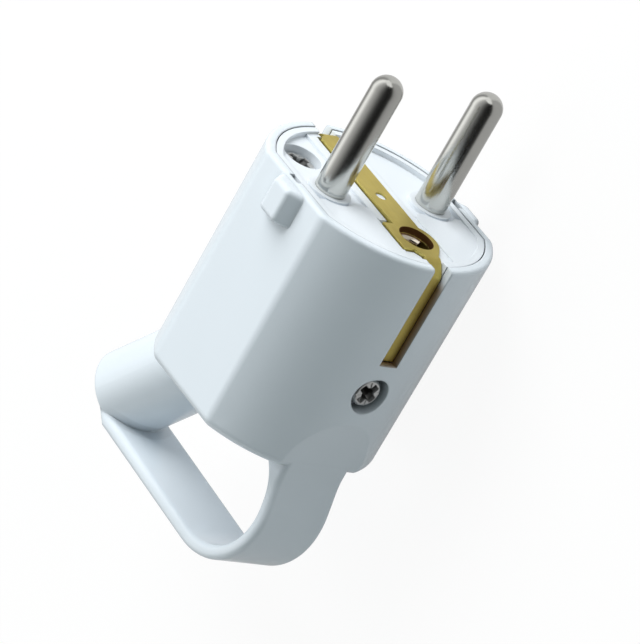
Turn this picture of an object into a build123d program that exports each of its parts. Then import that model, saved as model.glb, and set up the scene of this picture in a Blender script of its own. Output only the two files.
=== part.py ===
"""Rewirable two-pin earthed plug with a cable tube and a finger loop.

Frame: X runs along the pins, towards the socket. The origin is the middle of the pin row, on the
seating face. Z is up, square to the flats: the plug lies on its lower flat. The cable tube leaves
towards +Y, and the front with the cover screw faces -Y. Millimetres.
"""

import os
from math import atan2, cos, degrees, radians, sin, tan

from build123d import *

# Contact pins
pin_diameter = 4.8
pin_length = 19.0
pin_spacing = 19.0
pin_fit = 0.03
pin_seat_step = 0.4

# Cover: a slightly drafted round with two flats, open at the pin end
body_diameter = 36.0
flat_depth = 1.8
body_length = 36.75
body_draft = 0.45
wall = 1.4
rear_wall = 2.0
rim_round = 0.6
corner_round = 2.5
rear_round = 1.5

# Guide keys, one on each flat just behind the rim
key_base = 6.6
key_top = 3.5
key_height = 2.1
key_length = 5.5
key_setback = 0.4
key_round = 0.8
key_root = 0.4
rim_notch_width = 2.2
rim_notch_depth = 0.9
rim_notch_y = 1.1

# Cable tube, leaving the rear at a slant
tube_diameter = 13.3
tube_bore = 9.0
tube_angle = 36.0
tube_length = 21.2
tube_inset = 5.95
tube_end_bevel = 0.8

# Finger loop: a flat band from the tube's end round to the front of the body
loop_width = 11.8
loop_thickness = 2.1
loop_edge_round = 0.9
loop_reach = 20.9
bar_lean = 1.9
loop_corner_drop = 1.6
loop_corner_radius = 11.0
waist_reach = 1.85
waist_radius = 12.0
leg_overlap = 3.0
root_flare_radius = 8.0

# Scoop in the front of the body, which runs out into the loop's leg
scoop_radius = 29.0
scoop_depth = 1.85

# Pin carrier: the moulded insert that closes the pin end
carrier_fit = 0.15
carrier_border = 1.1
carrier_rim = 0.1
carrier_land = 0.25
carrier_bank = 0.45
carrier_base = 0.85
plate_rear = 5.2
land_edge_y = -2.8
land_corner_round = 1.6
bank_width = 8.4
collar_diameter = 6.6
collar_moat = 0.6
pin_boss_diameter = 8.4
pin_boss_rear = 9.0
barrier_thickness = 1.5
barrier_gap = 9.1
barrier_top_y = 4.4
barrier_rear = 18.0
spine_front_y = -8.6
spine_back_y = 12.0
spine_end_gap = 0.8
tongue_width = 11.0
tongue_thickness = 2.2

# Earth strip, bent from brass sheet
strip_thickness = 1.0
strip_width = 4.6
strip_leg_width = 2.8
strip_shoulder = 0.85
strip_leg_end = 16.5
strip_recess = 1.3
strip_bend = 1.5
strip_bend_radius = 0.8
strip_fit = 0.2
strip_eye_diameter = 7.3
strip_tab_reach = 4.3
strip_tab_start_y = -7.0
strip_tab_end_y = -13.0
strip_tab_room = 1.2
peg_diameter = 1.7
peg_fit = 0.05

# Earth socket: the tube under the strip that takes a socket's own earth pin
earth_hole_diameter = 5.4
earth_hole_y = -10.0
earth_sleeve_diameter = 7.0
earth_sleeve_rear = 15.2
earth_boss_wall = 1.5
earth_boss_rear = 10.5
earth_fit = 0.05
lug_front = 11.7
lug_thickness = 1.5
lug_width = 7.0
lug_back_y = 2.6
earth_screw_y = -1.2
washer_side = 6.4
washer_thickness = 1.0

# Terminal blocks on the pins' inner ends
terminal_length = 9.0
terminal_height = 7.5
terminal_width = 6.0
wire_hole_diameter = 3.2
wire_hole_depth = 7.0
terminal_screw_from_rear = 3.6

# Screws: one shank size, pan heads
shank_diameter = 3.0
thread_fit = 0.03
head_bevel = 0.5
small_head_diameter = 5.2
small_head_height = 2.0

# Cover screw on the front, and its captive square nut
cover_screw_x = -22.1
cover_screw_head = 4.5
cover_screw_bore = 6.0
cover_screw_seat = 2.8
cover_screw_shank = 8.5
cover_boss_diameter = 9.2
cover_boss_depth = 4.5
cover_boss_gap = 0.2
nut_side = 5.5
nut_thickness = 2.4
nut_fit = 0.1
nut_cover = 1.6
nut_block_width = 9.6
nut_block_rear = 27.0
nut_block_front = 15.6
nut_block_back_y = -7.2

# Carrier screw in the pin face, and the pillar in the cover that it pulls on
carrier_screw_edge = 4.2
carrier_screw_turn = 43.3
carrier_screw_bore = 5.9
carrier_screw_seat = 3.6
carrier_screw_shank = 12.0
carrier_screw_boss = 8.2
carrier_screw_boss_rear = 8.0
pillar_diameter = 6.0
pillar_rib = 1.6
pillar_hole_depth = 11.0

# Cord clamp across the cable's way in
clamp_distance = 14.5
clamp_screw_spacing = 13.0
clamp_length = 18.6
clamp_width = 5.4
clamp_thickness = 2.0
clamp_gap = 5.0
clamp_post_diameter = 5.2
clamp_screw_shank = 6.4
clamp_hole_depth = 5.0

# Values that follow from the sizes above
body_radius = body_diameter / 2
flat_spacing = body_diameter - 2 * flat_depth
pin_radius = pin_diameter / 2
pin_seat_radius = pin_radius - pin_seat_step
rear_x = -body_length
cavity_rear_x = rear_x + rear_wall
carrier_inset = wall + carrier_fit
carrier_radius = body_radius - carrier_inset
base_x = -carrier_base
strip_outer_y = body_radius - strip_recess
strip_inner_y = strip_outer_y - strip_thickness
strip_flat_y = strip_inner_y - strip_bend
slot_end_x = -(strip_leg_end + strip_fit)
carrier_screw_offset = carrier_radius - carrier_screw_edge
carrier_screw_y = carrier_screw_offset * cos(radians(carrier_screw_turn))
carrier_screw_z = carrier_screw_offset * sin(radians(carrier_screw_turn))
shank_hole_radius = shank_diameter / 2 + thread_fit
tube_direction = Vector(-cos(radians(tube_angle)), sin(radians(tube_angle)), 0)
tube_root = Vector(rear_x, body_radius - tube_inset, 0)
tube_axis = Axis(tube_root, tube_direction)

tube_end = tube_root + tube_direction * tube_length

# Loop line in the XY plane: bar top, far corner, waist of the leg, and its end in the body's wall
leg_y = scoop_depth + loop_thickness / 2 - body_radius
loop_corner = Vector(rear_x - loop_reach, -body_radius - loop_corner_drop)
bar_top = Vector(loop_corner.X + bar_lean, tube_end.Y)
leg_waist = Vector(rear_x - waist_reach, leg_y)
leg_root = Vector(rear_x + leg_overlap, leg_y)
leg_slope = atan2(leg_waist.Y - loop_corner.Y, leg_waist.X - loop_corner.X)

# Fillet between the leg's inner side and the rear of the body
flare_x = rear_x - root_flare_radius
leg_inner_y = leg_y + (flare_x - leg_waist.X) * tan(leg_slope) + loop_thickness / 2 / cos(leg_slope)
flare_centre = Vector(flare_x, leg_inner_y + root_flare_radius / cos(leg_slope))


def body_section(inset):
    """The body's outline across X, a circle with two flats, moved in by inset."""
    Circle(body_radius - inset)
    Rectangle(2 * body_radius, flat_spacing - 2 * inset, mode=Mode.INTERSECT)


def scoop(inset):
    """The round that hollows the front of the body, in the XY plane, moved in by inset."""
    with Locations((rear_x, scoop_depth - body_radius - scoop_radius)):
        Circle(scoop_radius + inset)


def strip_outline(gap):
    """The strip's outline on the pin face, moved out by gap: eye and neck, straight run and tab."""
    with Locations((earth_hole_y, 0)):
        Circle(strip_eye_diameter / 2 + gap)
    with Locations((-strip_flat_y, 0)):
        Rectangle(strip_bend, strip_leg_width + 2 * gap, align=(Align.MIN, Align.CENTER))
    make_hull()
    with Locations((earth_hole_y, 0)):
        Rectangle(strip_flat_y + gap - earth_hole_y, strip_width + 2 * gap, align=(Align.MIN, Align.CENTER))
    with Locations((strip_tab_end_y - gap, 0)):
        tab_length = strip_tab_start_y - strip_tab_end_y + 2 * gap
        Rectangle(tab_length, strip_tab_reach + gap, align=(Align.MIN, Align.MIN))


def screw(seat, head_diameter, head_height, shank_length):
    """A pan-head screw: its head stands up from the seat plane and its shank goes down from it."""
    with BuildPart() as pan_head:
        with BuildSketch(seat):
            Circle(head_diameter / 2)
        extrude(amount=head_height)
        chamfer(pan_head.edges().sort_by(Axis(seat.origin, seat.z_dir))[-1], head_bevel)
        with BuildSketch(seat):
            Circle(shank_diameter / 2)
        extrude(amount=-shank_length)
    return pan_head.part


def save(piece, name):
    """Label a finished piece and write it to its own file."""
    piece.label = name
    export_step(piece, f"parts/{name}.step")


os.makedirs("parts", exist_ok=True)

# Planes that several pieces share
rearward = Plane(origin=(0, 0, 0), x_dir=(0, 1, 0), z_dir=(-1, 0, 0))
tube_plane = Plane(origin=tube_root, x_dir=(0, 0, 1), z_dir=tube_direction)
cover_seat_y = -body_radius + cover_screw_seat
cover_screw_seat_plane = Plane(origin=(cover_screw_x, cover_seat_y, 0), x_dir=(1, 0, 0), z_dir=(0, -1, 0))
carrier_screw_seat_plane = Plane(
    origin=(-carrier_screw_seat, carrier_screw_y, carrier_screw_z), x_dir=(0, 1, 0), z_dir=(1, 0, 0)
)
nut_y = cover_boss_depth + cover_boss_gap + nut_cover - body_radius
nut_plane = Plane(origin=(cover_screw_x, nut_y, 0), x_dir=(1, 0, 0), z_dir=(0, -1, 0))
clamp_centre = tube_root - tube_direction * clamp_distance
clamp_across = Vector(tube_direction.Y, -tube_direction.X, 0)
clamp_floor_z = -barrier_gap / 2
clamp_seat_z = clamp_floor_z + clamp_gap
clamp_plane = Plane(origin=clamp_centre + Vector(0, 0, clamp_seat_z), x_dir=clamp_across, z_dir=(0, 0, 1))

# Finger loop, a flat band with rounded edges that becomes part of the cover
with BuildPart() as loop:
    with BuildSketch(Plane.XY):
        with BuildLine():
            FilletPolyline(bar_top, loop_corner, leg_waist, leg_root, radius=[loop_corner_radius, waist_radius])
        trace(line_width=loop_thickness)
    extrude(amount=loop_width / 2, both=True)
    with BuildSketch(Plane.XY):
        with BuildLine():
            flare = CenterArc(flare_centre, root_flare_radius, 0, degrees(leg_slope) - 90)
            Polyline(flare @ 1, leg_waist, leg_root, (leg_root.X, flare_centre.Y), flare @ 0)
        make_face()
    extrude(amount=loop_width / 2, both=True)
    # the bar ends flush with the tube's end
    with BuildSketch(tube_plane.offset(tube_length)):
        Rectangle(2 * body_diameter, 2 * body_diameter)
    extrude(amount=body_diameter, mode=Mode.SUBTRACT)
    fillet(loop.faces().filter_by(Axis.Z).edges(), loop_edge_round)

# Guide key, standing on the upper flat
with BuildPart() as key:
    with BuildSketch(Plane.YZ.offset(-key_setback)) as key_profile:
        with BuildLine():
            Polyline(
                (-key_base / 2, flat_spacing / 2 - key_root),
                (key_base / 2, flat_spacing / 2 - key_root),
                (key_base / 2, flat_spacing / 2),
                (key_top / 2, flat_spacing / 2 + key_height),
                (-key_top / 2, flat_spacing / 2 + key_height),
                (-key_base / 2, flat_spacing / 2),
                close=True,
            )
        make_face()
        fillet(key_profile.vertices().group_by(Axis.Y)[-1], key_round)
    extrude(amount=-key_length)
    key_ends = key.faces().filter_by(Axis.X).edges()
    fillet(key_ends.filter_by(lambda edge: edge.center().Z > flat_spacing / 2), key_round)

# Space inside the cover, with the front wall kept along the leg
with BuildPart() as cavity:
    with BuildSketch(Plane.YZ):
        body_section(wall)
    extrude(amount=cavity_rear_x)
    with BuildSketch(Plane.XY):
        scoop(wall)
    extrude(amount=body_radius, both=True, mode=Mode.SUBTRACT)

# Cover: body, keys, tube and loop in one moulding
with BuildPart() as cover:
    with BuildSketch(rearward) as rim_outline:
        body_section(0)
        fillet(rim_outline.vertices(), corner_round)
    extrude(amount=body_length, taper=body_draft)
    with BuildSketch(Plane.XY):
        scoop(0)
    extrude(amount=body_radius, both=True, mode=Mode.SUBTRACT)
    fillet(cover.faces().sort_by(Axis.X)[0].edges(), rear_round)
    fillet(cover.faces().sort_by(Axis.X)[-1].edges(), rim_round)
    add(key.part)
    add(key.part, rotation=(180, 0, 0))
    with BuildSketch(tube_plane.offset(-tube_diameter / 2)):
        Circle(tube_diameter / 2)
    extrude(amount=tube_length + tube_diameter / 2)
    chamfer(cover.faces().filter_by(GeomType.PLANE).sort_by(tube_axis)[-1].edges(), tube_end_bevel)
    add(loop.part)
    add(cavity.part, mode=Mode.SUBTRACT)
    with BuildSketch(tube_plane.offset(-tube_diameter)):
        Circle(tube_bore / 2)
    extrude(amount=tube_length + 2 * tube_diameter, mode=Mode.SUBTRACT)
    # slots for the two legs of the earth strip
    with BuildSketch(Plane.YZ):
        Rectangle(3 * body_diameter, strip_leg_width + 2 * strip_fit)
        Rectangle(2 * carrier_radius - 2 * wall, flat_spacing, mode=Mode.SUBTRACT)
    extrude(amount=slot_end_x, mode=Mode.SUBTRACT)
    # a small notch in the rim's inner edge beside each key
    with BuildSketch(Plane.YZ):
        with GridLocations(0, flat_spacing - 2 * wall, 1, 2):
            with Locations((rim_notch_y, 0)):
                Rectangle(rim_notch_width, 2 * rim_notch_depth)
    extrude(amount=-rim_notch_depth, mode=Mode.SUBTRACT)
    # boss inside the front wall, bored for the cover screw
    with BuildSketch(cover_screw_seat_plane.offset(-(cover_boss_depth - cover_screw_seat))):
        Circle(cover_boss_diameter / 2)
    extrude(amount=cover_boss_depth - 0.75 * wall)
    with BuildSketch(cover_screw_seat_plane):
        Circle(cover_screw_bore / 2)
    extrude(amount=cover_screw_seat + wall, mode=Mode.SUBTRACT)
    with BuildSketch(cover_screw_seat_plane):
        Circle(shank_hole_radius)
    extrude(amount=-cover_boss_depth, mode=Mode.SUBTRACT)
    # pillar and rib for the carrier screw
    with BuildSketch(Plane.YZ.offset(-carrier_screw_boss_rear)):
        with Locations((carrier_screw_y, carrier_screw_z)):
            Circle(pillar_diameter / 2)
        rib_length = body_radius - wall / 2 - carrier_screw_offset
        with Locations(Location((carrier_screw_y, carrier_screw_z), carrier_screw_turn)):
            Rectangle(rib_length, pillar_rib, align=(Align.MIN, Align.CENTER))
    extrude(amount=cavity_rear_x + carrier_screw_boss_rear - rear_wall / 2)
    with BuildSketch(Plane.YZ.offset(-carrier_screw_boss_rear)):
        with Locations((carrier_screw_y, carrier_screw_z)):
            Circle(shank_hole_radius)
    extrude(amount=-pillar_hole_depth, mode=Mode.SUBTRACT)
save(cover.part, "cover")

# Earth strip: a bent strap over the pin face, with an eye and a tab round the earth hole
with BuildPart() as earth_strip:
    with BuildSketch(Plane.XY):
        mid_y = strip_outer_y - strip_thickness / 2
        mid_x = -strip_thickness / 2
        with BuildLine():
            FilletPolyline(
                (-strip_leg_end, -mid_y),
                (mid_x - strip_bend, -mid_y),
                (mid_x, -mid_y + strip_bend),
                (mid_x, mid_y - strip_bend),
                (mid_x - strip_bend, mid_y),
                (-strip_leg_end, mid_y),
                radius=strip_bend_radius,
            )
        trace(line_width=strip_thickness)
    extrude(amount=strip_leg_width / 2, both=True)
    with BuildSketch(Plane.YZ) as strip_face:
        strip_outline(0)
        fillet(strip_face.vertices().group_by(Axis.X)[-1], strip_shoulder)
    extrude(amount=-strip_thickness)
    with BuildSketch(Plane.YZ):
        with Locations((earth_hole_y, 0)):
            Circle(earth_hole_diameter / 2)
        Circle(peg_diameter / 2 + peg_fit)
    extrude(amount=-strip_thickness, mode=Mode.SUBTRACT)
save(earth_strip.part, "earth_strip")

# Pin carrier: face plate with lands, collars and strip channel, and the insulating walls behind it
with BuildPart() as pin_carrier:
    with BuildSketch(Plane.YZ.offset(-carrier_rim)):
        body_section(carrier_inset)
    extrude(amount=carrier_rim - plate_rear)
    # the face lies lower inside its border
    with BuildSketch(Plane.YZ.offset(base_x)):
        body_section(carrier_inset + carrier_border)
    extrude(amount=carrier_base, mode=Mode.SUBTRACT)
    # raised lands: the front half of the face, a collar round each pin and a bank along the strip
    with BuildSketch(Plane.YZ.offset(base_x)) as lands:
        body_section(carrier_inset)
        with Locations((land_edge_y, 0)):
            Rectangle(2 * body_radius, body_diameter, align=(Align.MIN, Align.CENTER), mode=Mode.SUBTRACT)
        Rectangle(body_diameter, bank_width, mode=Mode.SUBTRACT)
        fillet(lands.vertices().group_by(Axis.X)[-1].sort_by(Axis.Y)[1:3], land_corner_round)
        with GridLocations(0, pin_spacing, 1, 2):
            Circle(collar_diameter / 2 + collar_moat, mode=Mode.SUBTRACT)
            Circle(collar_diameter / 2)
    extrude(amount=carrier_base - carrier_land)
    with BuildSketch(Plane.YZ.offset(base_x)):
        body_section(carrier_inset)
        Rectangle(body_diameter, bank_width, mode=Mode.INTERSECT)
    extrude(amount=carrier_base - carrier_bank)
    # bosses behind the plate for the pins, the earth socket and the carrier screw
    with BuildSketch(Plane.YZ.offset(-plate_rear)):
        with GridLocations(0, pin_spacing, 1, 2):
            Circle(pin_boss_diameter / 2)
    extrude(amount=plate_rear - pin_boss_rear)
    with BuildSketch(Plane.YZ.offset(-plate_rear)):
        with Locations((earth_hole_y, 0)):
            Circle(earth_sleeve_diameter / 2 + earth_boss_wall)
    extrude(amount=plate_rear - earth_boss_rear)
    with BuildSketch(Plane.YZ.offset(-plate_rear)):
        with Locations((carrier_screw_y, carrier_screw_z)):
            Circle(carrier_screw_boss / 2)
    extrude(amount=plate_rear - carrier_screw_boss_rear)
    # spine under the cable, and the shorter barrier wall above the earth terminal
    with BuildSketch(Plane.YZ.offset(-plate_rear)):
        with Locations((spine_front_y, -barrier_gap / 2)):
            Rectangle(
                spine_back_y - spine_front_y, barrier_thickness, align=(Align.MIN, Align.MAX)
            )
    extrude(amount=plate_rear + cavity_rear_x + spine_end_gap)
    with BuildSketch(Plane.YZ.offset(-plate_rear)):
        with Locations((spine_front_y, barrier_gap / 2)):
            Rectangle(
                barrier_top_y - spine_front_y, barrier_thickness, align=(Align.MIN, Align.MIN)
            )
    extrude(amount=plate_rear - barrier_rear)
    # tongue behind the front contact, and the block that holds the nut
    with BuildSketch(Plane.YZ.offset(-plate_rear)):
        body_section(carrier_inset)
        with Locations((-carrier_radius, 0)):
            Rectangle(2 * tongue_thickness, tongue_width, mode=Mode.INTERSECT)
    extrude(amount=plate_rear + slot_end_x)
    with BuildSketch(Plane.YZ.offset(-nut_block_front)):
        with Locations((cover_boss_depth + cover_boss_gap - body_radius, 0)):
            Rectangle(
                nut_block_back_y - cover_boss_depth - cover_boss_gap + body_radius,
                nut_block_width,
                align=(Align.MIN, Align.CENTER),
            )
    extrude(amount=nut_block_front - nut_block_rear)
    # posts for the cord clamp's screws
    with BuildSketch(clamp_plane.offset(-clamp_gap)):
        with GridLocations(clamp_screw_spacing, 0, 2, 1):
            Circle(clamp_post_diameter / 2)
    extrude(amount=clamp_gap)
    # all of it stays inside the carrier's outline
    with BuildSketch(Plane.YZ):
        body_section(carrier_inset)
    extrude(amount=rear_x, mode=Mode.INTERSECT)
    with BuildSketch(clamp_plane):
        with GridLocations(clamp_screw_spacing, 0, 2, 1):
            Circle(shank_hole_radius)
    extrude(amount=-clamp_hole_depth, mode=Mode.SUBTRACT)
    # channel for the strip, with room beside the tab to lift it and a peg for the middle hole
    with BuildSketch(Plane.YZ.offset(-strip_thickness)):
        strip_outline(strip_fit)
        with Locations((strip_tab_start_y, 0)):
            Rectangle(strip_tab_room, strip_tab_reach + strip_fit, align=(Align.MIN, Align.MIN))
    extrude(amount=strip_thickness, mode=Mode.SUBTRACT)
    with BuildSketch(Plane.YZ.offset(-strip_thickness)):
        Circle(peg_diameter / 2)
    extrude(amount=strip_thickness - carrier_land)
    # room at both edges for the strip's bends and legs
    for side in (-1, 1):
        with BuildSketch(Plane.XY):
            Polygon(
                (slot_end_x, side * strip_inner_y),
                (-strip_bend - strip_thickness, side * strip_inner_y),
                (-strip_thickness, side * strip_flat_y),
                (pin_length, side * strip_flat_y),
                (pin_length, side * body_diameter),
                (slot_end_x, side * body_diameter),
                align=None,
            )
        extrude(amount=strip_leg_width / 2 + strip_fit, both=True, mode=Mode.SUBTRACT)
    # bores for the pins, the earth socket and the carrier screw
    with BuildSketch(Plane.YZ):
        with GridLocations(0, pin_spacing, 1, 2):
            Circle(pin_seat_radius + pin_fit)
    extrude(amount=-pin_boss_rear, mode=Mode.SUBTRACT)
    with BuildSketch(Plane.YZ):
        with Locations((earth_hole_y, 0)):
            Circle(earth_sleeve_diameter / 2 + earth_fit)
    extrude(amount=-earth_sleeve_rear, mode=Mode.SUBTRACT)
    with BuildSketch(carrier_screw_seat_plane):
        Circle(carrier_screw_bore / 2)
    extrude(amount=carrier_screw_seat, mode=Mode.SUBTRACT)
    with BuildSketch(carrier_screw_seat_plane):
        Circle(shank_hole_radius)
    extrude(amount=-carrier_screw_boss_rear, mode=Mode.SUBTRACT)
    # slot for the square nut, open at the top, and the cover screw's way through the block
    with BuildSketch(nut_plane):
        with Locations((0, -nut_side / 2 - nut_fit)):
            Rectangle(nut_side + 2 * nut_fit, nut_block_width, align=(Align.CENTER, Align.MIN))
    extrude(amount=-nut_thickness - nut_fit, mode=Mode.SUBTRACT)
    with BuildSketch(cover_screw_seat_plane):
        Circle(shank_hole_radius)
    extrude(amount=-body_radius, mode=Mode.SUBTRACT)
save(pin_carrier.part, "pin_carrier")

# Pins with their terminal blocks, and the screws that clamp the wires
for name, side in (("line", 1), ("neutral", -1)):
    pin_z = side * pin_spacing / 2
    block_rear = pin_boss_rear + terminal_length
    with BuildPart() as contact_pin:
        # a thinner seat goes through the carrier, and the pin's shoulder rests on the collar
        with BuildSketch(Plane.YZ.offset(-pin_boss_rear)):
            with Locations((0, pin_z)):
                Circle(pin_seat_radius)
        extrude(amount=pin_boss_rear - carrier_land)
        with BuildSketch(Plane.YZ.offset(-carrier_land)):
            with Locations((0, pin_z)):
                Circle(pin_radius)
        extrude(amount=carrier_land + pin_length - pin_radius)
        with Locations((pin_length - pin_radius, 0, pin_z)):
            Sphere(pin_radius)
        with BuildSketch(Plane.YZ.offset(-block_rear)):
            with Locations((0, pin_z)):
                Rectangle(terminal_height, terminal_width)
        extrude(amount=terminal_length)
        with BuildSketch(Plane.YZ.offset(-block_rear)):
            with Locations((0, pin_z)):
                Circle(wire_hole_diameter / 2)
        extrude(amount=wire_hole_depth, mode=Mode.SUBTRACT)
        clamp_seat = Plane(
            origin=(terminal_screw_from_rear - block_rear, -terminal_height / 2, pin_z),
            x_dir=(1, 0, 0),
            z_dir=(0, -1, 0),
        )
        with BuildSketch(clamp_seat):
            Circle(shank_hole_radius)
        extrude(amount=-terminal_height / 2, mode=Mode.SUBTRACT)
    save(contact_pin.part, f"{name}_pin")
    wire_reach = (terminal_height - wire_hole_diameter) / 2
    save(screw(clamp_seat, small_head_diameter, small_head_height, wire_reach), f"{name}_terminal_screw")

# Earth socket: a sleeve under the strip's eye, with a lug for the earth wire
with BuildPart() as earth_socket:
    with BuildSketch(Plane.YZ.offset(-strip_thickness)):
        with Locations((earth_hole_y, 0)):
            Circle(earth_sleeve_diameter / 2)
    extrude(amount=strip_thickness - earth_sleeve_rear)
    with BuildSketch(Plane.YZ.offset(-lug_front)):
        with Locations((earth_hole_y, 0)):
            Rectangle(lug_back_y - earth_hole_y, lug_width, align=(Align.MIN, Align.CENTER))
    extrude(amount=-lug_thickness)
    with BuildSketch(Plane.YZ):
        with Locations((earth_hole_y, 0)):
            Circle(earth_hole_diameter / 2)
        with Locations((earth_screw_y, 0)):
            Circle(shank_hole_radius)
    extrude(amount=-earth_sleeve_rear, mode=Mode.SUBTRACT)
save(earth_socket.part, "earth_socket")

with BuildPart() as earth_washer:
    with BuildSketch(Plane.YZ.offset(-lug_front - lug_thickness)):
        with Locations((earth_screw_y, 0)):
            Rectangle(washer_side, washer_side)
            Circle(shank_hole_radius, mode=Mode.SUBTRACT)
    extrude(amount=-washer_thickness)
save(earth_washer.part, "earth_clamp_washer")

earth_grip = lug_thickness + washer_thickness
earth_seat = Plane(
    origin=(-lug_front - earth_grip, earth_screw_y, 0), x_dir=(0, 1, 0), z_dir=(-1, 0, 0)
)
save(screw(earth_seat, small_head_diameter, small_head_height, earth_grip + shank_diameter), "earth_terminal_screw")

# Cord clamp: a bar across the cable, held by two screws
with BuildPart() as cord_clamp:
    with BuildSketch(clamp_plane):
        SlotOverall(clamp_length, clamp_width)
        with GridLocations(clamp_screw_spacing, 0, 2, 1):
            Circle(shank_hole_radius, mode=Mode.SUBTRACT)
    extrude(amount=clamp_thickness)
save(cord_clamp.part, "cord_clamp_bar")

for name, offset in (("front", -clamp_screw_spacing / 2), ("back", clamp_screw_spacing / 2)):
    clamp_top = Plane(
        clamp_plane.from_local_coords((offset, 0, clamp_thickness)), x_dir=clamp_across, z_dir=(0, 0, 1)
    )
    clamp_screw = screw(clamp_top, small_head_diameter, small_head_height, clamp_screw_shank)
    save(clamp_screw, f"cord_clamp_screw_{name}")

# Cover screw and its nut, and the carrier screw in the pin face
save(screw(cover_screw_seat_plane, cover_screw_head, small_head_height, cover_screw_shank), "cover_screw")

with BuildPart() as square_nut:
    with BuildSketch(nut_plane):
        Rectangle(nut_side, nut_side)
        Circle(shank_hole_radius, mode=Mode.SUBTRACT)
    extrude(amount=-nut_thickness)
save(square_nut.part, "cover_screw_nut")

save(screw(carrier_screw_seat_plane, small_head_diameter, small_head_height, carrier_screw_shank), "carrier_screw")
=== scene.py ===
"""Looks of a rewirable plug: white mouldings, nickel pins, a brass earth strip and cross-recess screws."""

from math import pi, radians

import bpy
import numpy as np
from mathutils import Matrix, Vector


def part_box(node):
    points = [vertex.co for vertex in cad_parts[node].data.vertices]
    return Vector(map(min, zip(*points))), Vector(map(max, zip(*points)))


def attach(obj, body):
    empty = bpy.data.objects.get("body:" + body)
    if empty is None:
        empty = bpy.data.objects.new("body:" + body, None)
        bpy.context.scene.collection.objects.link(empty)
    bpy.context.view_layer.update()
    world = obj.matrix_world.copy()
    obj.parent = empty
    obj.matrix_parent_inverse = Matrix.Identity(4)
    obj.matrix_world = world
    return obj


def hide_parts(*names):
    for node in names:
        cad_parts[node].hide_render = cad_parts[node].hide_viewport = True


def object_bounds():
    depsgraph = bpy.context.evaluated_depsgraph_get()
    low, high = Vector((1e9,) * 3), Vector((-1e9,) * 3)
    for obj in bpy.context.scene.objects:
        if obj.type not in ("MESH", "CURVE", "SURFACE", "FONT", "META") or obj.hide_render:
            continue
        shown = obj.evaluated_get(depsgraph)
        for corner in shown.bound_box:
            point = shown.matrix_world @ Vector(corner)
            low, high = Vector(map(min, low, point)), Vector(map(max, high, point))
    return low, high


bl_info = {
    "name": "Rewirable plug looks",
    "version": (1, 0, 0),
    "blender": (4, 5, 0),
    "location": "3D View > Sidebar > Plug",
    "description": "Dresses a packed rewirable plug and sets its stage",
    "category": "Object",
}

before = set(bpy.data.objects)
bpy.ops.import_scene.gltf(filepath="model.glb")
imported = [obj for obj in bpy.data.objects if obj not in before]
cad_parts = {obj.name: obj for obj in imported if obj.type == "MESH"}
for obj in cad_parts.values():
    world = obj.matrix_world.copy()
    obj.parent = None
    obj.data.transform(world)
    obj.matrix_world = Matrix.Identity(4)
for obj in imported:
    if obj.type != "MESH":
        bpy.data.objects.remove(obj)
cad_box = [list(corner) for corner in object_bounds()]
MM = 0.001


def linear(hex_colour):
    """Turn an sRGB hex colour to linear light by undoing the sRGB curve on each channel."""
    srgb = np.array([int(hex_colour[i : i + 2], 16) for i in (1, 3, 5)]) / 255
    light = np.where(srgb <= 0.04045, srgb / 12.92, ((srgb + 0.055) / 1.055) ** 2.4)
    return (*light.tolist(), 1.0)


WHITE = linear("#FFFFFF")
# dark colour painted into the screws' recesses as shade
RECESS_SHADE_COLOUR = linear("#1C1A18")
# darker brass painted on the wall of the strip's earth hole as shade
HOLE_SHADE_BRASS = linear("#9C744A")
# the Mix node's sockets for colours: two inputs and the result
MIX_A, MIX_B, MIXED = 6, 7, 2
# how far past a wall its colour reaches, so that the whole wall takes it
OVERLAP = 0.03 * MM
# gap between the leaves and the earth socket
LEAF_CLEARANCE = 0.05 * MM
# the screws that show: where the head faces, a direction across it, the turn of its cross, and the share
# of painted shade in its slots
SCREWS = {
    "cover_screw": ((0.0, -1.0, 0.0), (1.0, 0.0, 0.0), radians(-34), 0.55),
    "carrier_screw": ((1.0, 0.0, 0.0), (0.0, 1.0, 0.0), radians(20), 0.8),
}
# how far the full painted shade hides the plating
RECESS_SHADE_COVERS = 0.95
# the tent's glow, by degrees from the horizon behind the plug, over its top, to the horizon in front
ARCH_GLOW = (
    (0, 0.30), (12, 0.34), (28, 1.1), (40, 1.3), (54, 0.9), (67, 0.56),
    (93, 0.32), (112, 0.13), (132, 0.03), (153, 0.012), (173, 0.03), (180, 0.1),
)
# the glow of the tent's floor behind and in front of the pins, by metres from them
BACK_GLOW = ((0.02, 0.7), (0.08, 0.65), (0.2, 0.5), (0.6, 0.35))
FRONT_GLOW = ((0.02, 0.45), (0.08, 0.36), (0.2, 0.25), (0.6, 0.1))


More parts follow.
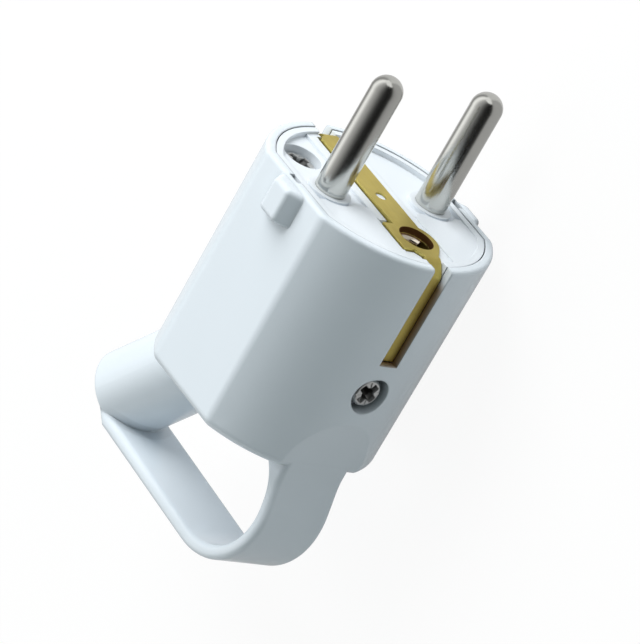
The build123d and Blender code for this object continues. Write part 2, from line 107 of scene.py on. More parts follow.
class FinishSettings(bpy.types.PropertyGroup):
    """Colours of the plug's materials, and the slot where the earth strip's reflection and shade are painted.
    """

    shell: bpy.props.FloatVectorProperty(
        name="Shell", description="White of the cover", subtype="COLOR", size=4, min=0, max=1,
        default=linear("#E2EAF1"),
    )
    insert: bpy.props.FloatVectorProperty(
        name="Insert", description="White of the pin carrier", subtype="COLOR", size=4, min=0, max=1,
        default=linear("#E7EDF3"),
    )
    nickel: bpy.props.FloatVectorProperty(
        name="Nickel", description="Plating on the pins", subtype="COLOR", size=4, min=0, max=1,
        default=linear("#D3D3CE"),
    )
    brass: bpy.props.FloatVectorProperty(
        name="Brass", description="Earth strip and its socket", subtype="COLOR", size=4, min=0, max=1,
        default=linear("#E8D67C"),
    )
    tin: bpy.props.FloatVectorProperty(
        name="Tin", description="Plating on the earth leaves", subtype="COLOR", size=4, min=0, max=1,
        default=linear("#F0E6D4"),
    )
    zinc: bpy.props.FloatVectorProperty(
        name="Zinc", description="Plating on the screws", subtype="COLOR", size=4, min=0, max=1,
        default=linear("#DCDEDD"),
    )
    fibre: bpy.props.FloatVectorProperty(
        name="Fibre", description="Cord clamp bar", subtype="COLOR", size=4, min=0, max=1,
        default=linear("#6E6A66"),
    )
    # painted brass reflection and shade: the brown put on the slot's walls beside the earth strip
    slot_reflection: bpy.props.FloatVectorProperty(
        name="Slot reflection", description="Painted brass reflection and shade on its slot", subtype="COLOR", size=4,
        min=0, max=1, default=linear("#9A7440"),
    )
    slot_width: bpy.props.FloatProperty(
        name="Slot", description="Width of the cover's slot for the earth strip", subtype="DISTANCE",
        unit="LENGTH", default=3.2 * MM,
    )
    slot_depth: bpy.props.FloatProperty(
        name="Slot depth", description="How deep the earth strip lies in its slot", subtype="DISTANCE",
        unit="LENGTH", default=1.3 * MM,
    )


class ScrewSettings(bpy.types.PropertyGroup):
    """Sizes of the two cross-recess screws that show; their lengths and heads come from the CAD."""

    head_height: bpy.props.FloatProperty(
        name="Height", description="Height of the pan head", subtype="DISTANCE", unit="LENGTH",
        default=2.0 * MM,
    )
    shank_diameter: bpy.props.FloatProperty(
        name="Shank", description="Diameter of the shank", subtype="DISTANCE", unit="LENGTH", default=3.0 * MM
    )
    recess_share: bpy.props.FloatProperty(
        name="Recess share", description="Tip to tip of the cross, as a share of the head", subtype="FACTOR",
        default=0.72, min=0, max=1,
    )
    recess_width: bpy.props.FloatProperty(
        name="Arm width", description="Width of one arm of the cross", subtype="DISTANCE", unit="LENGTH",
        default=1.0 * MM,
    )
    recess_depth: bpy.props.FloatProperty(
        name="Recess depth", description="Depth in the middle of the cross", subtype="DISTANCE",
        unit="LENGTH", default=1.6 * MM,
    )


class LeafSettings(bpy.types.PropertyGroup):
    """Sizes of the sprung leaves that grip an earth pin inside the earth socket."""

    count: bpy.props.IntProperty(name="Leaves", description="Number of leaves", default=2, min=2, max=8)
    hole_y: bpy.props.FloatProperty(
        name="Hole", description="Place of the earth hole along Y", subtype="DISTANCE", unit="LENGTH",
        default=-10.0 * MM,
    )
    bore: bpy.props.FloatProperty(
        name="Bore", description="Diameter of the earth hole", subtype="DISTANCE", unit="LENGTH",
        default=5.4 * MM,
    )
    reach: bpy.props.FloatProperty(
        name="Reach", description="How far a leaf stands into the hole", subtype="DISTANCE", unit="LENGTH",
        default=0.8 * MM,
    )
    throat: bpy.props.FloatProperty(
        name="Throat", description="Depth of the narrowest place", subtype="DISTANCE", unit="LENGTH",
        default=0.75 * MM,
    )
    length: bpy.props.FloatProperty(
        name="Length", description="Length of a leaf", subtype="DISTANCE", unit="LENGTH", default=6.0 * MM
    )
    thickness: bpy.props.FloatProperty(
        name="Thickness", description="Thickness of a leaf", subtype="DISTANCE", unit="LENGTH",
        default=0.2 * MM,
    )
    gap: bpy.props.FloatProperty(
        name="Gap", description="Angle between two leaves", subtype="ANGLE", unit="ROTATION",
        default=radians(60),
    )
    turn: bpy.props.FloatProperty(
        name="Turn", description="Angle of the first leaf", subtype="ANGLE", unit="ROTATION",
        default=radians(-5),
    )


class StageSettings(bpy.types.PropertyGroup):
    """Camera, lamps, floor, room and the tent that the metal mirrors."""

    lens: bpy.props.FloatProperty(
        name="Lens", description="Focal length on a 36 mm sensor", subtype="DISTANCE_CAMERA", unit="CAMERA",
        default=398.703,
    )
    place: bpy.props.FloatVectorProperty(
        name="Camera", description="Camera position", subtype="TRANSLATION", unit="LENGTH",
        default=(0.376104, -0.645157, 0.665360),
    )
    turn: bpy.props.FloatVectorProperty(
        name="Turn", description="Camera rotation", subtype="EULER", unit="ROTATION",
        default=(radians(8.863905), radians(48.026483), radians(-46.478666)),
    )
    lamp_size: bpy.props.FloatProperty(
        name="Lamp size", description="Side of each lamp", subtype="DISTANCE", unit="LENGTH", default=0.55
    )
    key_place: bpy.props.FloatVectorProperty(
        name="Key", description="Position of the strong lamp", subtype="TRANSLATION", unit="LENGTH",
        default=(0.47, 0.32, 0.36),
    )
    key_power: bpy.props.FloatProperty(
        name="Key power", description="Power of the strong lamp", subtype="POWER", unit="POWER", default=5.4
    )
    fill_place: bpy.props.FloatVectorProperty(
        name="Fill", description="Position of the weak lamp", subtype="TRANSLATION", unit="LENGTH",
        default=(-0.35, 0.3, 0.5),
    )
    fill_power: bpy.props.FloatProperty(
        name="Fill power", description="Power of the weak lamp", subtype="POWER", unit="POWER", default=1.4
    )
    room_light: bpy.props.FloatProperty(
        name="Room light", description="Strength of the light from all round", default=0.29, min=0
    )
    floor_size: bpy.props.FloatProperty(
        name="Floor", description="Side of the floor", subtype="DISTANCE", unit="LENGTH", default=3.0
    )
    floor_glow: bpy.props.FloatProperty(
        name="Floor glow", description="Share of the floor's white that no shadow darkens", subtype="FACTOR",
        default=0.92, min=0, max=1,
    )
    tent_radius: bpy.props.FloatProperty(
        name="Tent", description="Radius of the tent", subtype="DISTANCE", unit="LENGTH", default=0.8
    )
    tent_length: bpy.props.FloatProperty(
        name="Tent length", description="Length of the tent along X", subtype="DISTANCE", unit="LENGTH",
        default=3.0,
    )


def add(tree, kind, inputs=None, **settings):
    """Add one node, give it its settings, and give each input a value or a link."""
    made = tree.nodes.new(kind)
    for name, value in settings.items():
        setattr(made, name, value)
    for name, value in (inputs or {}).items():
        if isinstance(value, bpy.types.NodeSocket):
            tree.links.new(value, made.inputs[name])
        else:
            made.inputs[name].default_value = value
    return made


def start_material(name):
    """A new material with an empty node tree and an output."""
    material = bpy.data.materials.new(name)
    material.use_nodes = True
    material.node_tree.nodes.clear()
    return material, add(material.node_tree, "ShaderNodeOutputMaterial")


def shade(colour, amount):
    """A colour made darker or lighter by one factor."""
    return (*(min(1.0, amount * channel) for channel in colour[:3]), 1.0)


def moulded_plastic(name, colour, ior, gloss, grain_mm, edge_mm, crevice_mm, corner_shade, shade_settings=None):
    """Moulded or pressed plastic: satin skin, faint flow tone, mould grain, painted shade in corners and soft
    edges.

    Given the finish settings, the painted shade is lifted at its rear, and the slot gets a painted brass
    reflection.
    """
    material, output = start_material(name)
    tree = material.node_tree
    place = add(tree, "ShaderNodeTexCoord").outputs["Object"]
    # the melt's flow leaves a tone that drifts over about 14 mm
    flow = add(tree, "ShaderNodeTexNoise", {"Vector": place, "Scale": 1 / (14 * MM), "Detail": 2.0})
    tone = add(tree, "ShaderNodeMix", {
        "Factor": flow.outputs["Fac"], MIX_A: shade(colour, 0.98), MIX_B: shade(colour, 1.015),
    }, data_type="RGBA").outputs[MIXED]
    # painted shade: darker where the surface is closed in, as in screw holes and slots
    unshaded = add(tree, "ShaderNodeAmbientOcclusion", {"Distance": crevice_mm * MM}, samples=8).outputs["AO"]
    if shade_settings:
        # the painted shade is lifted over the tube and the loop: from 34 mm behind the pin face, and fully
        # from 38 mm
        along = add(tree, "ShaderNodeSeparateXYZ", {"Vector": place}).outputs["X"]
        rear_lift = add(tree, "ShaderNodeMapRange", {
            "Value": along, "From Min": -38 * MM, "From Max": -34 * MM, "To Min": 0.85, "To Max": 0.0,
        }).outputs["Result"]
        unshaded = add(tree, "ShaderNodeMath", {0: unshaded, 1: rear_lift}, operation="MAXIMUM").outputs[0]
    # painted shade: the colour goes darker by the given share where the surface is closed in
    tone = add(tree, "ShaderNodeMix", {
        "Factor": unshaded, MIX_A: shade(colour, 1 - corner_shade), MIX_B: tone,
    }, data_type="RGBA").outputs[MIXED]
    # painted brass reflection and shade on the walls of the strip's slot
    if shade_settings:
        tone = paint_slot_reflection(tree, place, tone, shade_settings)
    # the gloss of the skin varies over about 3 mm
    skin = add(tree, "ShaderNodeTexNoise", {"Vector": place, "Scale": 1 / (3 * MM), "Detail": 3.0})
    rough = add(tree, "ShaderNodeMapRange", {
        "Value": skin.outputs["Fac"], "To Min": gloss - 0.04, "To Max": gloss + 0.05,
    })
    grain = add(tree, "ShaderNodeTexNoise", {"Vector": place, "Scale": 1 / (grain_mm * MM), "Detail": 2.0})
    edge = add(tree, "ShaderNodeBevel", {"Radius": edge_mm * MM}, samples=8)
    bump = add(tree, "ShaderNodeBump", {
        "Height": grain.outputs["Fac"], "Strength": 0.1, "Distance": 0.02 * MM,
        "Normal": edge.outputs["Normal"],
    })
    surface = add(tree, "ShaderNodeBsdfPrincipled", {
        "Base Color": tone, "Roughness": rough.outputs["Result"], "IOR": ior,
        "Normal": bump.outputs["Normal"],
    })
    tree.links.new(surface.outputs["BSDF"], output.inputs["Surface"])
    return material


def paint_slot_reflection(tree, place, tone, finish):
    """Painted brown reflection and shade on the walls beside the strip: most at the strip, less towards the
    outside.

    It reaches a little past the end of the strip, and fades to none towards the rim at the pin face.
    """
    at_strip, outside, past_end = 0.95, 0.5, 0.3 * MM
    fade_start, fade_end = -3.6 * MM, -2.2 * MM
    low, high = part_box("earth_strip")
    where = add(tree, "ShaderNodeSeparateXYZ", {"Vector": place}).outputs
    beside = add(tree, "ShaderNodeMath", {
        0: where["Z"], 1: 0.0, 2: finish.slot_width / 2 + OVERLAP,
    }, operation="COMPARE").outputs[0]
    along = add(tree, "ShaderNodeMath", {
        0: where["X"], 1: low[0] - past_end,
    }, operation="GREATER_THAN").outputs[0]
    out = add(tree, "ShaderNodeMath", {0: where["Y"]}, operation="ABSOLUTE").outputs[0]
    near = add(tree, "ShaderNodeMapRange", {
        "Value": out, "From Min": high[1], "From Max": high[1] + finish.slot_depth,
        "To Min": at_strip, "To Max": outside,
    }).outputs["Result"]
    behind_rim = add(tree, "ShaderNodeMapRange", {
        "Value": where["X"], "From Min": fade_start, "From Max": fade_end, "To Min": near, "To Max": 0.0,
    }).outputs["Result"]
    walls = add(tree, "ShaderNodeMath", {0: beside, 1: along}, operation="MULTIPLY").outputs[0]
    share = add(tree, "ShaderNodeMath", {0: walls, 1: behind_rim}, operation="MULTIPLY").outputs[0]
    return add(tree, "ShaderNodeMix", {
        "Factor": share, MIX_A: tone, MIX_B: tuple(finish.slot_reflection),
    }, data_type="RGBA").outputs[MIXED]


def plated_metal(name, colour, gloss, streak_mm, along, tarnish, edge_mm, shaded_hole=None):
    """Plated or rolled metal: fine working lines along one axis, patchy tone and bright softened edges.

    Given the leaf settings, the wall of the earth hole is painted a darker brown as shade.
    """
    material, output = start_material(name)
    tree = material.node_tree
    place = add(tree, "ShaderNodeTexCoord").outputs["Object"]
    # lines are long along the working direction, and wider across it than real ones, so that they show
    stretch = [0.03 if axis == along else 1.0 for axis in "XYZ"]
    lines_place = add(tree, "ShaderNodeMapping", {"Vector": place, "Scale": stretch})
    lines = add(tree, "ShaderNodeTexNoise", {
        "Vector": lines_place.outputs["Vector"], "Scale": 1 / (streak_mm * MM), "Detail": 3.0,
    })
    # tarnish comes in patches of about 2.5 mm
    patches = add(tree, "ShaderNodeTexNoise", {"Vector": place, "Scale": 1 / (2.5 * MM), "Detail": 4.0})
    tone = add(tree, "ShaderNodeMix", {
        "Factor": patches.outputs["Fac"],
        MIX_A: shade(colour, 1 - tarnish), MIX_B: shade(colour, 1 + tarnish / 2),
    }, data_type="RGBA").outputs[MIXED]
    rough = add(tree, "ShaderNodeMapRange", {
        "Value": lines.outputs["Fac"], "To Min": gloss * 0.75, "To Max": gloss * 1.3,
    })
    if shaded_hole:
        # the wall is what lies within the hole's radius of the hole's axis, which runs along X
        across = add(tree, "ShaderNodeVectorMath", {0: place, 1: (0, 1, 1)}, operation="MULTIPLY")
        apart = add(tree, "ShaderNodeVectorMath", {
            0: across.outputs["Vector"], 1: (0, shaded_hole.hole_y, 0),
        }, operation="DISTANCE")
        wall = add(tree, "ShaderNodeMath", {
            0: apart.outputs["Value"], 1: shaded_hole.bore / 2 + OVERLAP,
        }, operation="LESS_THAN")
        # painted shade: the hole's wall takes the darker brass
        tone = add(tree, "ShaderNodeMix", {
            "Factor": wall.outputs[0], MIX_A: tone, MIX_B: HOLE_SHADE_BRASS,
        }, data_type="RGBA").outputs[MIXED]
    # a screw's recess is painted dark as shade, and other pieces have no such attribute, which reads as none
    recess_shade = add(tree, "ShaderNodeAttribute", attribute_name="recess_shade")
    tone = add(tree, "ShaderNodeMix", {
        "Factor": recess_shade.outputs["Fac"], MIX_A: tone, MIX_B: RECESS_SHADE_COLOUR,
    }, data_type="RGBA").outputs[MIXED]
    edge = add(tree, "ShaderNodeBevel", {"Radius": edge_mm * MM}, samples=8)
    bump = add(tree, "ShaderNodeBump", {
        "Height": lines.outputs["Fac"], "Strength": 0.1, "Distance": 0.01 * MM,
        "Normal": edge.outputs["Normal"],
    })
    surface = add(tree, "ShaderNodeBsdfPrincipled", {
        "Base Color": tone, "Metallic": 1.0, "Roughness": rough.outputs["Result"],
        "Normal": bump.outputs["Normal"],
    })
    tree.links.new(surface.outputs["BSDF"], output.inputs["Surface"])
    return material


def dress(material, *names):
    """Give the named CAD nodes one material."""
    for name in names:
        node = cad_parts[name]
        node.data.materials.clear()
        node.data.materials.append(material)


def turned_mesh(name, points, recess_shade):
    """A closed surface from a grid of points: each row is a ring, the first and last are one point each."""
    rings, columns = len(points) - 2, points.shape[1]
    index = np.arange(rings * columns).reshape(rings, columns)
    low, high = index[:-1], index[1:]
    quads = np.stack([low, np.roll(low, -1, 1), np.roll(high, -1, 1), high], -1).reshape(-1, 4)
    bottom, top = np.full(columns, rings * columns), np.full(columns, rings * columns + 1)
    fans = np.concatenate([
        np.stack([bottom, np.roll(index[0], -1), index[0]], -1),
        np.stack([top, index[-1], np.roll(index[-1], -1)], -1),
    ])
    mesh = bpy.data.meshes.new(name)
    corners = np.concatenate([points[1:-1].reshape(-1, 3), points[0, :1], points[-1, :1]])
    mesh.from_pydata(corners.tolist(), [], quads.tolist() + fans.tolist())
    shade_layer = mesh.attributes.new("recess_shade", "FLOAT", "POINT")
    shares = np.concatenate([recess_shade[1:-1].ravel(), recess_shade[0, :1], recess_shade[-1, :1]])
    shade_layer.data.foreach_set("value", shares.astype(np.float32))
    return mesh


def soft_step(distance, width):
    """One below zero distance and nothing above it, with a smooth change over width."""
    return 1 / (1 + np.exp(np.clip(distance / width, -40, 40)))


def screw_points(seat, axis, across, turn, head, shank_length, size, slots):
    """Points of a screw and its painted shade: a profile turned round its axis, from the shank's end to the
    crown.

    The profile gives a radius and a height for each row, and the angle runs over a full turn. On top of the
    head the height drops by the depth of two crossed slots, each the product of a soft step across its width
    and one along its length, of a round hub where they meet, and of four short lines between them. The slots
    are deepest in the middle and slope up to their ends. The painted shade is one in the hub, the given share
    in the slots and up their walls, and nothing outside.
    """
    head, shank = head / 2, size.shank_diameter / 2
    rim, crown, under, tip = 0.55 * MM, 0.12 * MM, 0.1 * MM, 0.3 * MM
    flat = size.head_height - crown
    bend = np.linspace(0, pi / 2, 14)[1:]
    dome = np.linspace(1, 0, 70)[1:]
    profile = (
        # the shank's end, then its chamfered side
        (np.linspace(0, shank - tip, 3), np.full(3, -shank_length)),
        (np.full(6, shank), np.linspace(tip - shank_length, 0, 6)),
        # the head's underside, its side, its rounded rim and its crown
        (np.linspace(shank, head - under, 5)[1:], np.zeros(4)),
        (np.full(2, head), np.array([under, flat - rim])),
        (head - rim + rim * np.cos(bend), flat - rim + rim * np.sin(bend)),
        ((head - rim) * dome, flat + crown * (1 - dome ** 2)),
    )
    radius, height = (np.concatenate(run) for run in zip(*profile))
    angle = np.linspace(0, 2 * pi, 160, endpoint=False)
    x = radius[:, None] * np.cos(angle)
    y = radius[:, None] * np.sin(angle)
    spread = np.hypot(x, y)
    half_width, half_span, hub_radius = size.recess_width / 2, size.recess_share * head, 0.42 * head
    crisp, soft, shade_spread = 0.03 * MM, 0.05 * MM, 0.06 * MM
    hub = soft_step(spread - hub_radius, soft)

    def cross(wider):
        """The two slots and the hub as one, with the slots made wider on each side."""
        one, other = (
            soft_step(np.abs(b) - half_width - wider, crisp) * soft_step(np.abs(a) - half_span - wider, soft)
            for a, b in ((x, y), (y, x))
        )
        return np.maximum(np.maximum(one, other), hub)

    slope, shallowest = 0.75, 0.2
    depth = size.recess_depth * np.clip(1 - slope * spread / half_span, shallowest, 1)
    line_width, line_middle, line_half, line_depth = 0.16 * MM, 1.4 * MM, 0.5 * MM, 0.12 * MM
    between = soft_step(np.abs(np.abs(x) - np.abs(y)) - line_width, crisp)
    lines = between * soft_step(np.abs(spread - line_middle) - line_half, soft)
    on_top = (height > flat - rim / 2)[:, None] & (radius < head - rim / 3)[:, None]
    # painted shade in the cross recess: full in the hub, the given share in the slots
    slot_shade = np.where(on_top, cross(shade_spread) * (slots + (1 - slots) * hub), 0)
    z = height[:, None] - np.where(on_top, np.maximum(cross(0) * depth, lines * line_depth), 0)
    side = np.cross(axis, across)
    first = np.cos(turn) * across + np.sin(turn) * side
    second = np.cos(turn) * side - np.sin(turn) * across
    return seat + x[..., None] * first + y[..., None] * second + z[..., None] * axis, slot_shade


def leaf_points(top, size):
    """Points of the sprung leaves, one grid each: depth runs down the socket and angle across a leaf.

    The radius is the hole's less a hump that rises quickly to the throat and falls slowly behind it: the
    reach, times depth over throat, times e to the power of one less depth over throat.
    """
    depth = size.length * np.linspace(0, 1, 60) ** 2
    share = depth / size.throat
    radius = size.bore / 2 - LEAF_CLEARANCE - size.reach * share * np.exp(1 - share)
    half = pi / size.count - size.gap / 2
    middle = size.turn + 2 * pi * np.arange(size.count) / size.count
    angle = (middle[:, None] + np.linspace(-half, half, 48))[:, None, :]
    x, radius = (top - depth)[None, :, None], radius[None, :, None]
    y, z = size.hole_y + radius * np.cos(angle), radius * np.sin(angle)
    return np.stack(np.broadcast_arrays(x, y, z), -1)


class PLUG_OT_mouldings(bpy.types.Operator):
    """Dress the white mouldings and the clamp bar"""

    bl_idname = "plug.mouldings"
    bl_label = "Mouldings"

    def execute(self, context):
        finish = context.scene.plug_finish
        # moulded ABS: a smooth white skin with soft reflections; its 0.1 mm grain is drawn at 0.4 mm to show
        dress(moulded_plastic(
            "moulded_white_abs", finish.shell, ior=1.53, gloss=0.2, grain_mm=0.4, edge_mm=0.5, crevice_mm=1.6,
            corner_shade=0.75, shade_settings=finish,
        ), "cover")
        # moulded polyamide: a little paler and duller, with a coarser grain, so the lands read softly
        dress(moulded_plastic(
            "moulded_white_polyamide", finish.insert, ior=1.53, gloss=0.34, grain_mm=0.8, edge_mm=0.2,
            crevice_mm=0.5, corner_shade=0.2,
        ), "pin_carrier")
        # pressed vulcanised fibre: dull dark grey with a coarse surface
        dress(moulded_plastic(
            "vulcanised_fibre", finish.fibre, ior=1.5, gloss=0.55, grain_mm=0.6, edge_mm=0.1, crevice_mm=1.0,
            corner_shade=0.2,
        ), "cord_clamp_bar")
        return {"FINISHED"}


class PLUG_OT_contacts(bpy.types.Operator):
    """Dress the pins, the earth strip and the inner metal pieces"""

    bl_idname = "plug.contacts"
    bl_label = "Contacts"

    def execute(self, context):
        finish = context.scene.plug_finish
        # turned and nickel-plated: a near mirror, slightly warm, with fine lines along the pin
        dress(plated_metal(
            "nickel_plated_brass", finish.nickel, gloss=0.18, streak_mm=0.25, along="X", tarnish=0.05,
            edge_mm=0.4,
        ), "line_pin", "neutral_pin")
        # rolled and stamped brass: satin yellow with rolling lines and a patchy dull film
        dress(plated_metal(
            "rolled_brass", finish.brass, gloss=0.5, streak_mm=0.3, along="Y", tarnish=0.16, edge_mm=0.05,
            shaded_hole=context.scene.plug_leaf,
        ), "earth_strip")
        # turned brass, left unpolished inside: a dim yellow glow behind the leaves
        dress(plated_metal(
            "turned_brass", finish.brass, gloss=0.3, streak_mm=0.3, along="X", tarnish=0.1, edge_mm=0.1,
        ), "earth_socket")
        # zinc-plated steel: bright grey, softly mirrored, with darker spots
        dress(plated_metal(
            "zinc_plated_steel", finish.zinc, gloss=0.36, streak_mm=0.3, along="Z", tarnish=0.12,
            edge_mm=0.08,
        ), "line_terminal_screw", "neutral_terminal_screw", "earth_clamp_washer", "earth_terminal_screw",
            "cord_clamp_screw_front", "cord_clamp_screw_back", "cover_screw_nut")
        return {"FINISHED"}


class PLUG_OT_screws(bpy.types.Operator):
    """Make the two cross-recess screws that show"""

    bl_idname = "plug.screws"
    bl_label = "Screws"

    def execute(self, context):
        size = context.scene.plug_screw
        zinc = bpy.data.materials.get("zinc_plated_steel")
        if zinc is None:
            raise RuntimeError("the contacts come first: they make the screws' plating")
        for node, (axis, across, turn, slots) in SCREWS.items():
            low, high = (np.array(corner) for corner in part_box(node))
            axis, across = np.array(axis), np.array(across)
            length, head = np.abs((high - low) @ axis), (high - low) @ across
            shank_length = length - size.head_height
            seat = (low + high) / 2 + axis * (length / 2 - size.head_height)
            points, slot_shade = screw_points(seat, axis, across, turn, head, shank_length, size, slots)
            mesh = turned_mesh(f"{node}_detailed", points, RECESS_SHADE_COVERS * slot_shade)
            mesh.materials.append(zinc)
            mesh.shade_smooth()
            piece = bpy.data.objects.new(f"{node}_detailed", mesh)
            context.scene.collection.objects.link(piece)
            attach(piece, "root")
            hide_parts(node)
        return {"FINISHED"}


class PLUG_OT_leaves(bpy.types.Operator):
    """Make the sprung leaves in the earth socket"""

    bl_idname = "plug.leaves"
    bl_label = "Earth leaves"

    def execute(self, context):
        size = context.scene.plug_leaf
        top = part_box("earth_socket")[1][0]
        points = leaf_points(top - LEAF_CLEARANCE, size)
        index = np.arange(points[..., 0].size).reshape(points.shape[:3])
        quads = np.stack([index[:, :-1, :-1], index[:, :-1, 1:], index[:, 1:, 1:], index[:, 1:, :-1]], -1)
        mesh = bpy.data.meshes.new("earth_socket_leaves")
        mesh.from_pydata(points.reshape(-1, 3).tolist(), [], quads.reshape(-1, 4).tolist())
        # tinned phosphor bronze: a pale warm mirror, so the lead-in catches the light
        mesh.materials.append(plated_metal(
            "tinned_bronze", context.scene.plug_finish.tin, gloss=0.15, streak_mm=0.3, along="X",
            tarnish=0.05, edge_mm=0.05,
        ))
        mesh.shade_smooth()
        piece = bpy.data.objects.new("earth_socket_leaves", mesh)
        context.scene.collection.objects.link(piece)
        wall = piece.modifiers.new("thickness", "SOLIDIFY")
        wall.thickness, wall.offset = size.thickness, -1.0
        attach(piece, "root")
        return {"FINISHED"}


class PLUG_OT_stage(bpy.types.Operator):
    """Set the floor, the room, the tent, the lamps and the camera"""

    bl_idname = "plug.stage"
    bl_label = "Stage"

    def execute(self, context):
        scene, stage = context.scene, context.scene.plug_stage
        scene.view_settings.view_transform = "Standard"
        self.floor(scene, stage)
        self.room(scene, stage)
        self.tent(scene, stage)
        self.lamp(scene, "key_lamp", stage.key_place, stage.lamp_size, stage.key_power)
        self.lamp(scene, "fill_lamp", stage.fill_place, stage.lamp_size, stage.fill_power)
        camera = bpy.data.cameras.new("camera")
        camera.lens, camera.sensor_width, camera.clip_start = stage.lens, 36.0, 0.01
        eye = bpy.data.objects.new("camera", camera)
        scene.collection.objects.link(eye)
        eye.location, eye.rotation_euler = stage.place, stage.turn
        scene.camera = eye
        return {"FINISHED"}

    def lamp(self, scene, name, place, size, power):
        """A square lamp that faces the plug; reflections show the tent and not the lamp."""
        light = bpy.data.lights.new(name, "AREA")
        light.shape, light.size, light.energy = "SQUARE", size, power
        holder = bpy.data.objects.new(name, light)
        scene.collection.objects.link(holder)
        holder.location, holder.visible_glossy = place, False
        holder.rotation_euler = (-holder.location).to_track_quat("-Z", "Y").to_euler()

    def floor(self, scene, stage):
        """A plain pale floor under the plug's lowest point; it looks white and keeps the plug's shadow."""
        half, low = stage.floor_size / 2, cad_box[0][2]
        corners = half * np.array([[-1, -1, 0], [1, -1, 0], [1, 1, 0], [-1, 1, 0]]) + [0, 0, low]
        mesh = bpy.data.meshes.new("floor")
        mesh.from_pydata(corners.tolist(), [], [(0, 1, 2, 3)])
        material, output = start_material("white_paper")
        tree = material.node_tree
        # for rays that carry light the paper is a plain grey, so little of it comes back up to the plug
        grey = add(tree, "ShaderNodeBsdfDiffuse", {"Color": linear("#DFE0E1")})
        paper = add(tree, "ShaderNodeBsdfDiffuse", {"Color": WHITE})
        glow = add(tree, "ShaderNodeEmission", {"Color": WHITE, "Strength": 1.0})
        white = add(tree, "ShaderNodeMixShader", {
            0: stage.floor_glow, 1: paper.outputs["BSDF"], 2: glow.outputs["Emission"],
        })
        mix = add(tree, "ShaderNodeMixShader", {
            0: self.seen(tree), 1: grey.outputs["BSDF"], 2: white.outputs["Shader"],
        })
        tree.links.new(mix.outputs["Shader"], output.inputs["Surface"])
        mesh.materials.append(material)
        floor = bpy.data.objects.new("floor", mesh)
        scene.collection.objects.link(floor)

    def room(self, scene, stage):
        """A plain room that looks white and lights the plug evenly."""
        world = scene.world or bpy.data.worlds.new("room")
        scene.world = world
        world.use_nodes = True
        tree = world.node_tree
        tree.nodes.clear()
        light = add(tree, "ShaderNodeBackground", {"Color": linear("#F3FFFE"), "Strength": stage.room_light})
        white = add(tree, "ShaderNodeBackground", {"Color": WHITE, "Strength": 1.0})
        mix = add(tree, "ShaderNodeMixShader", {
            0: self.seen(tree), 1: light.outputs["Background"], 2: white.outputs["Background"],
        })
        output = add(tree, "ShaderNodeOutputWorld")
        tree.links.new(mix.outputs["Shader"], output.inputs["Surface"])

    def seen(self, tree):
        """One for rays that show a surface, in the picture or in metal, none for rays that carry light."""
        path = add(tree, "ShaderNodeLightPath").outputs
        shown = path["Is Camera Ray"]
        for ray in ("Is Glossy Ray", "Is Transmission Ray"):
            shown = add(tree, "ShaderNodeMath", {0: shown, 1: path[ray]}, operation="MAXIMUM").outputs[0]
        return shown

    def tent(self, scene, stage):
        """A graded card that only reflections show: dark in front of the plug, bright behind it.

        Its profile across X is the floor from under the pins to behind, half a circle over the plug to the
        front, and the floor from the front to under the pins. Its glow is read along the angle, and on the
        floor along the distance.
        """
        nearest, above_floor = 0.05 * MM, 0.2 * MM
        angle = np.linspace(0, 180, 121)
        distance = np.geomspace(stage.tent_radius, nearest, 60)
        ground = np.full(len(distance), cad_box[0][2] + above_floor)
        x = stage.tent_length * np.array([-0.5, 0.5])
        y = np.concatenate([distance[::-1], stage.tent_radius * np.cos(np.radians(angle)), -distance])
        z = np.concatenate([ground, stage.tent_radius * np.sin(np.radians(angle)), ground])
        shares = np.concatenate([
            np.interp(distance[::-1], *zip(*BACK_GLOW)),
            np.interp(angle, *zip(*ARCH_GLOW)),
            np.interp(distance, *zip(*FRONT_GLOW)),
        ])
        points = np.stack(np.broadcast_arrays(x[None, :], y[:, None], z[:, None]), -1)
        mesh = bpy.data.meshes.new("mirror_tent")
        first = 2 * np.arange(len(y) - 1)
        quads = np.stack([first, first + 1, first + 3, first + 2], -1)
        mesh.from_pydata(points.reshape(-1, 3).tolist(), [], quads.tolist())
        glow = mesh.attributes.new("glow", "FLOAT", "POINT")
        glow.data.foreach_set("value", np.repeat(shares, 2).astype(np.float32))
        material, output = start_material("graded_card")
        tree = material.node_tree
        reading = add(tree, "ShaderNodeAttribute", attribute_name="glow")
        light = add(tree, "ShaderNodeEmission", {"Color": WHITE, "Strength": reading.outputs["Fac"]})
        tree.links.new(light.outputs["Emission"], output.inputs["Surface"])
        mesh.materials.append(material)
        tent = bpy.data.objects.new("mirror_tent", mesh)
        scene.collection.objects.link(tent)
        for ray in ("camera", "diffuse", "transmission", "volume_scatter", "shadow"):
            setattr(tent, f"visible_{ray}", False)


OPERATORS = (PLUG_OT_mouldings, PLUG_OT_contacts, PLUG_OT_screws, PLUG_OT_leaves, PLUG_OT_stage)
GROUPS = {
    "plug_finish": FinishSettings,
    "plug_screw": ScrewSettings,
    "plug_leaf": LeafSettings,
    "plug_stage": StageSettings,
}


class PLUG_PT_panel(bpy.types.Panel):
    """The plug's steps and settings"""

    bl_idname = "PLUG_PT_panel"
    bl_label = "Rewirable plug"
    bl_space_type = "VIEW_3D"
    bl_region_type = "UI"
    bl_category = "Plug"

    def draw(self, context):
        for operator in OPERATORS:
            self.layout.operator(operator.bl_idname)
        for group in GROUPS:
            box = self.layout.box()
            settings = getattr(context.scene, group)
            for name in settings.__annotations__:
                box.prop(settings, name)


def register():
    """Register the classes and hang the settings on the scene."""
    for cls in (*GROUPS.values(), *OPERATORS, PLUG_PT_panel):
        bpy.utils.register_class(cls)
    for name, group in GROUPS.items():
        setattr(bpy.types.Scene, name, bpy.props.PointerProperty(type=group))


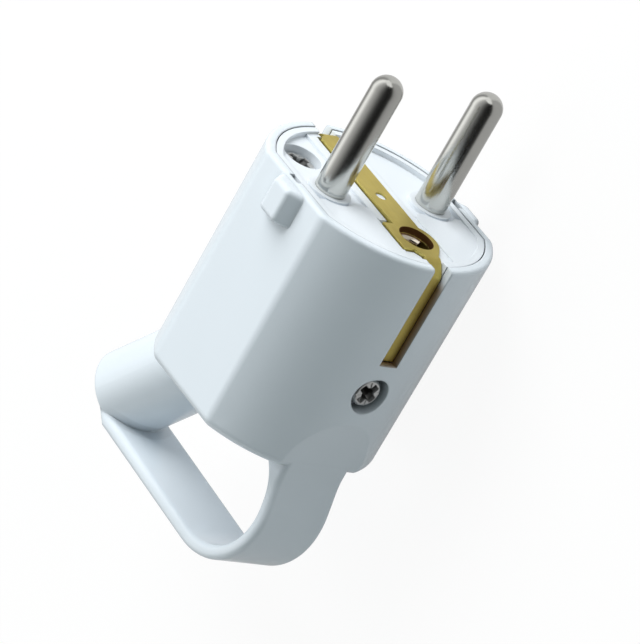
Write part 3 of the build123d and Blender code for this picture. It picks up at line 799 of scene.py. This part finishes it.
def unregister():
    """Take the settings and the classes away again."""
    for name in GROUPS:
        delattr(bpy.types.Scene, name)
    for cls in reversed((*GROUPS.values(), *OPERATORS, PLUG_PT_panel)):
        bpy.utils.unregister_class(cls)


def main():
    """Dress the plug step by step."""
    register()
    bpy.ops.plug.mouldings()
    bpy.ops.plug.contacts()
    bpy.ops.plug.screws()
    bpy.ops.plug.leaves()
    bpy.ops.plug.stage()


if __name__ == "__main__":
    main()
